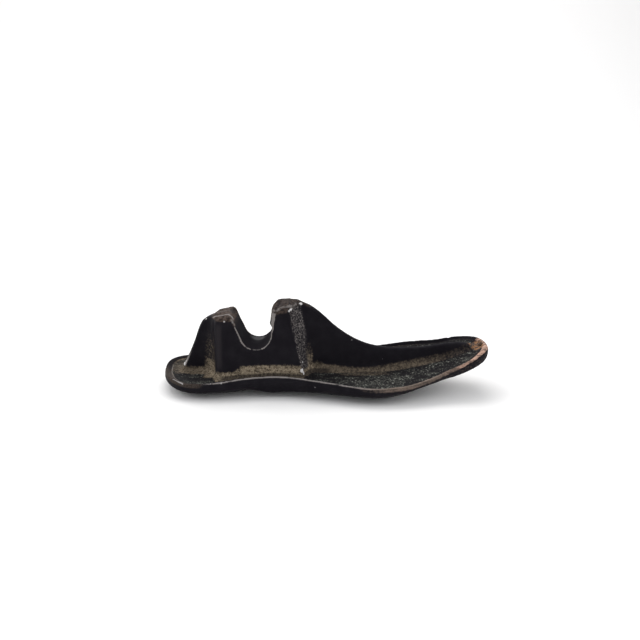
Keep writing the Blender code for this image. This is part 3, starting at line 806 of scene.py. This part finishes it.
# How a mask breaks up: the pattern's strength, and where the result starts and ends.
DUST_BREAK, HEEL_BREAK, TAN_BREAK = (1.0, 0.14, 0.92), (0.9, 0.2, 0.9), (0.9, 0.2, 0.75)
LINE_BREAK, RUST_BREAK, WEAR_AND_HIGHLIGHT_BREAK = (0.5, 0.1, 0.9), (0.8, 0.3, 0.8), (0.7, 0.2, 1.0)

# Roughness of the lacquer, of the notch and its polished spot, of dust and grain, and of worn edges
# with their painted highlights.
GLOSS, GLOSS_NOTCH, GLOSS_POLISH, DULLEST, WEAR_AND_HIGHLIGHT_GLOSS = (0.3, 0.7, 0.30, 0.42), 0.95, 0.32, 0.85, 0.5
GRAIN_DULL, SPECULAR = 0.7, 0.035
BUMP_MM, BUMP_STRENGTH, SMOOTH_BUMP, SPOT_BUMP = 0.1, 0.6, 0.2, 0.8


def lacquer_and_tray(g, coarse, medium, speck):
    """The black lacquer with a painted sheen on the hub's rear corners, the outer wall's brown specks
    and the tray's grey-green grains.
    """
    colour = g.mix(g.span(coarse, *GREYER), LACQUER, LACQUER_GREY)
    # The sheen mask paints a soft highlight, a lighter grey, on the hub's rear corners.
    colour = g.mix(g.mask("sheen"), colour, PAINTED_SHEEN_GREY)
    lower = g.times(g.mask("lower"), g.span(speck, *WALL_SPECKS), g.span(medium, *WALL_PATCHES))
    colour = g.mix(lower, colour, HEEL_BROWN)
    streak = g.noise(*STREAK, along=STREAK_LENGTH)
    patches = g.math("ADD", g.span(streak, *TRAY_STREAKS), g.times(g.mask("pale"), TRAY_PALER))
    grains = g.times(g.span(patches, *TRAY_GRAINS), g.span(speck, *TRAY_GRAIN_SPECKS))
    ground = g.mix(grains, TRAY_DARK, TRAY_GREY)
    lights = g.times(g.span(patches, *TRAY_LIGHTS), g.span(speck, *TRAY_LIGHT_SPECKS))
    ground = g.mix(lights, ground, TRAY_SPECK)
    return g.mix(g.mask("tray"), colour, ground), streak


def japanned_iron():
    material = bpy.data.materials.new(SLOT)
    g = Graph(material)
    shader = g.nodes["Principled BSDF"]
    coarse, medium, fine, speck = (g.noise(*pattern) for pattern in (COARSE, MEDIUM, FINE, SPECK))
    grainy = g.span(fine, *GRAINY)
    colour, streak = lacquer_and_tray(g, coarse, medium, speck)

    # Dust in the fillets, brown on the post tops, grey-brown round the heel.
    motes = g.math("ADD", g.times(grainy, 0.5), g.times(g.span(medium, *DUST_MOTES), 0.5))
    tan = g.mix(g.mask("waist"), DUST_TAN, DUST_PALE)
    both = g.math("MULTIPLY", g.math("ADD", medium, speck), 0.5)
    dusty = g.broken(g.mask("dust"), both, *DUST_BREAK)
    colour = g.mix(dusty, colour, g.mix(motes, DUST_DARK, tan))
    brown = g.mix(g.span(medium, *TOP_PATCHES), TOP_DARK, TOP_BROWN)
    colour = g.mix(g.mask("top"), colour, brown)
    heel_rim = g.broken(g.mask("heelrim"), streak, *HEEL_BREAK)
    colour = g.mix(heel_rim, colour, g.mix(grainy, TOP_DARK, HEEL_BROWN))

    # The rough chamfer: fine light and dark grains.
    chamfer = g.mask("chamfer")
    colour = g.mix(g.times(chamfer, g.span(speck, *CHAMFER_DARK)), colour, CHAMFER_GREY)
    lights = g.times(chamfer, g.span(speck, *CHAMFER_LIGHT), CHAMFER_LIGHT_SHARE)
    colour = g.mix(lights, colour, WEAR_AND_HIGHLIGHT_GREY)

    # The rim: tan towards the toe, a thin line at the waist painted as a highlight, and painted shade
    # in the groove inside it.
    rim_tan = g.mix(g.span(g.mask("toe"), *PINK_FROM), RIM_TAN, TOE_PINK)
    rim_tan = g.mix(g.span(fine, *RIM_GRAIN), g.mix(RIM_GRAIN_SHARE, rim_tan, TOP_DARK), rim_tan)
    streaks = g.times(g.span(streak, *RIM_STREAKS), RIM_STREAK_SHARE)
    rim_tan = g.mix(streaks, rim_tan, HEEL_BROWN)
    colour = g.mix(g.broken(g.mask("rimtan"), medium, *TAN_BREAK), colour, rim_tan)
    # Painted shade in the groove inside the bead and at the waist fillet's foot.
    colour = g.mix(g.times(g.mask("groove"), GROOVE_SHADE_SHARE), colour, LACQUER)
    # A painted highlight: the thin light line along the bead.
    highlight_and_line = g.times(g.mask("highlight_and_line"), g.span(coarse, *LINE_GAPS))
    line_colour = g.mix(g.mask("fore"), WEAR_AND_HIGHLIGHT_GREY, LINE_TAN)
    colour = g.mix(g.broken(highlight_and_line, fine, *LINE_BREAK), colour, line_colour)

    # Rust at the toe and painted shade in its pit, worn edges and bare chips with painted highlights
    # among them.
    rusty = g.broken(g.mask("rust"), medium, *RUST_BREAK)
    colour = g.mix(rusty, colour, g.mix(g.span(medium, *RUST_PATCHES), RUST_ORANGE, HEEL_BROWN))
    # Painted shade: darker in the toe's pit and the post tops' hollows, and over the front post's top.
    colour = g.mix(g.times(g.mask("painted_shade_and_dark_top"), SHADE_SHARE), colour, TRAY_DARK)
    # Worn edges and painted highlights along the edges, both light grey.
    wear_and_highlight = g.broken(g.mask("wear_and_highlight"), fine, *WEAR_AND_HIGHLIGHT_BREAK)
    colour = g.mix(wear_and_highlight, colour, WEAR_AND_HIGHLIGHT_GREY)
    # Bare chips, and painted highlights on the heel's spine and bead, in a lighter grey.
    colour = g.mix(g.span(g.mask("bare_and_highlight"), *BARE_AND_HIGHLIGHT_FROM), colour, BARE_AND_HIGHLIGHT_GREY)
    g.feed(shader.inputs["Base Color"], colour)

    rough = g.mask("rough")
    gloss = g.mix(g.mask("notch"), g.span(coarse, *GLOSS), GLOSS_NOTCH, "FLOAT")
    gloss = g.mix(g.mask("polish"), gloss, GLOSS_POLISH, "FLOAT")
    dull = g.math("MAXIMUM", dusty, g.times(rough, GRAIN_DULL))
    roughness = g.mix(dull, gloss, DULLEST, "FLOAT")
    g.feed(shader.inputs["Roughness"], g.mix(wear_and_highlight, roughness, WEAR_AND_HIGHLIGHT_GLOSS, "FLOAT"))
    shader.inputs["Specular IOR Level"].default_value = SPECULAR

    bump = g.nodes.new("ShaderNodeBump")
    bump.inputs["Distance"].default_value = BUMP_MM * MM
    bump.inputs["Strength"].default_value = BUMP_STRENGTH
    relief = g.times(fine, g.mix(rough, SMOOTH_BUMP, 1.0, "FLOAT"))
    relief = g.math("ADD", relief, g.times(g.spots(SPOTS), rough, SPOT_BUMP))
    g.feed(bump.inputs["Height"], relief)
    g.feed(shader.inputs["Normal"], bump.outputs["Normal"])
    return material


# ---------------------------------------------------------------- studio

PAPER, PAPER_ROUGHNESS = (0.80, 0.79, 0.78, 1.0), 0.8
SKY, SKY_STRENGTH = (0.95, 0.97, 1.0, 1.0), 0.8
# The cove in metres: its open end, its wall, the curve's radius, the wall's top and half its width.
COVE_FRONT, COVE_WALL, COVE_RADIUS, COVE_TOP, COVE_HALF = -30.0, 0.75, 0.35, 1.6, 30.0
COVE_STEPS = 16
# Name, place in metres, size and watts.
SOFTBOXES = (
    ("back_softbox", (-0.15, 0.45, 0.75), (0.9, 0.5), 5.5),
    ("left_softbox", (-0.8, -0.05, 0.5), (0.5, 0.5), 2.4),
    ("right_softbox", (0.8, -0.1, 0.5), (0.5, 0.5), 2.8),
)


def cove():
    """A pale floor that curves up behind the object."""
    profile = [(COVE_FRONT, 0.0)]
    for k in range(COVE_STEPS + 1):
        angle = math.pi / 2 * k / COVE_STEPS
        profile.append((COVE_WALL - COVE_RADIUS + COVE_RADIUS * math.sin(angle),
                        COVE_RADIUS * (1 - math.cos(angle))))
    profile.append((COVE_WALL, COVE_TOP))
    shape = bmesh.new()
    rows = [[shape.verts.new((side * COVE_HALF, y, z)) for side in (-1, 1)] for y, z in profile]
    for (a, b), (c, d) in zip(rows, rows[1:]):
        shape.faces.new((a, b, d, c))
    mesh = bpy.data.meshes.new("cove")
    shape.to_mesh(mesh)
    shape.free()
    mesh.shade_smooth()
    paper = bpy.data.materials.new("pale_paper")
    paper.use_nodes = True
    shader = paper.node_tree.nodes["Principled BSDF"]
    shader.inputs["Base Color"].default_value = PAPER
    shader.inputs["Roughness"].default_value = PAPER_ROUGHNESS
    mesh.materials.append(paper)
    floor = bpy.data.objects.new("cove", mesh)
    bpy.context.scene.collection.objects.link(floor)


def softbox(name, place, size, watts):
    """A soft rectangular light that faces the object."""
    light = bpy.data.lights.new(name, "AREA")
    light.shape = "RECTANGLE"
    light.size, light.size_y = size
    light.energy = watts
    lamp = bpy.data.objects.new(name, light)
    lamp.location = place
    lamp.rotation_euler = (-lamp.location).to_track_quat("-Z", "Y").to_euler()
    bpy.context.scene.collection.objects.link(lamp)


def world():
    sky = bpy.data.worlds.new("studio")
    sky.use_nodes = True
    background = sky.node_tree.nodes["Background"]
    background.inputs["Color"].default_value = SKY
    background.inputs["Strength"].default_value = SKY_STRENGTH
    bpy.context.scene.world = sky


def camera():
    lens = bpy.data.cameras.new("camera")
    lens.sensor_width = SENSOR_WIDTH
    lens.lens = CAMERA_LENS
    lens.clip_start = CLIP_START
    viewer = bpy.data.objects.new("camera", lens)
    turn = (Matrix.Rotation(-CAMERA_TURN, 4, "Z")
            @ Matrix.Rotation(math.pi / 2 - CAMERA_DOWN, 4, "X")
            @ Matrix.Rotation(CAMERA_LEAN, 4, "Z"))
    viewer.matrix_world = Matrix.Translation([v * MM for v in CAMERA_PLACE]) @ turn
    bpy.context.scene.collection.objects.link(viewer)
    bpy.context.scene.camera = viewer


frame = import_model()
camera()
cove()
world()
for box in SOFTBOXES:
    softbox(*box)

casting = worn_casting(frame["nodes"][NODE])
casting.data.materials.clear()
casting.data.materials.append(japanned_iron())
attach(casting, "root")
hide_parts(NODE)

bpy.context.scene.view_settings.view_transform = "Standard"
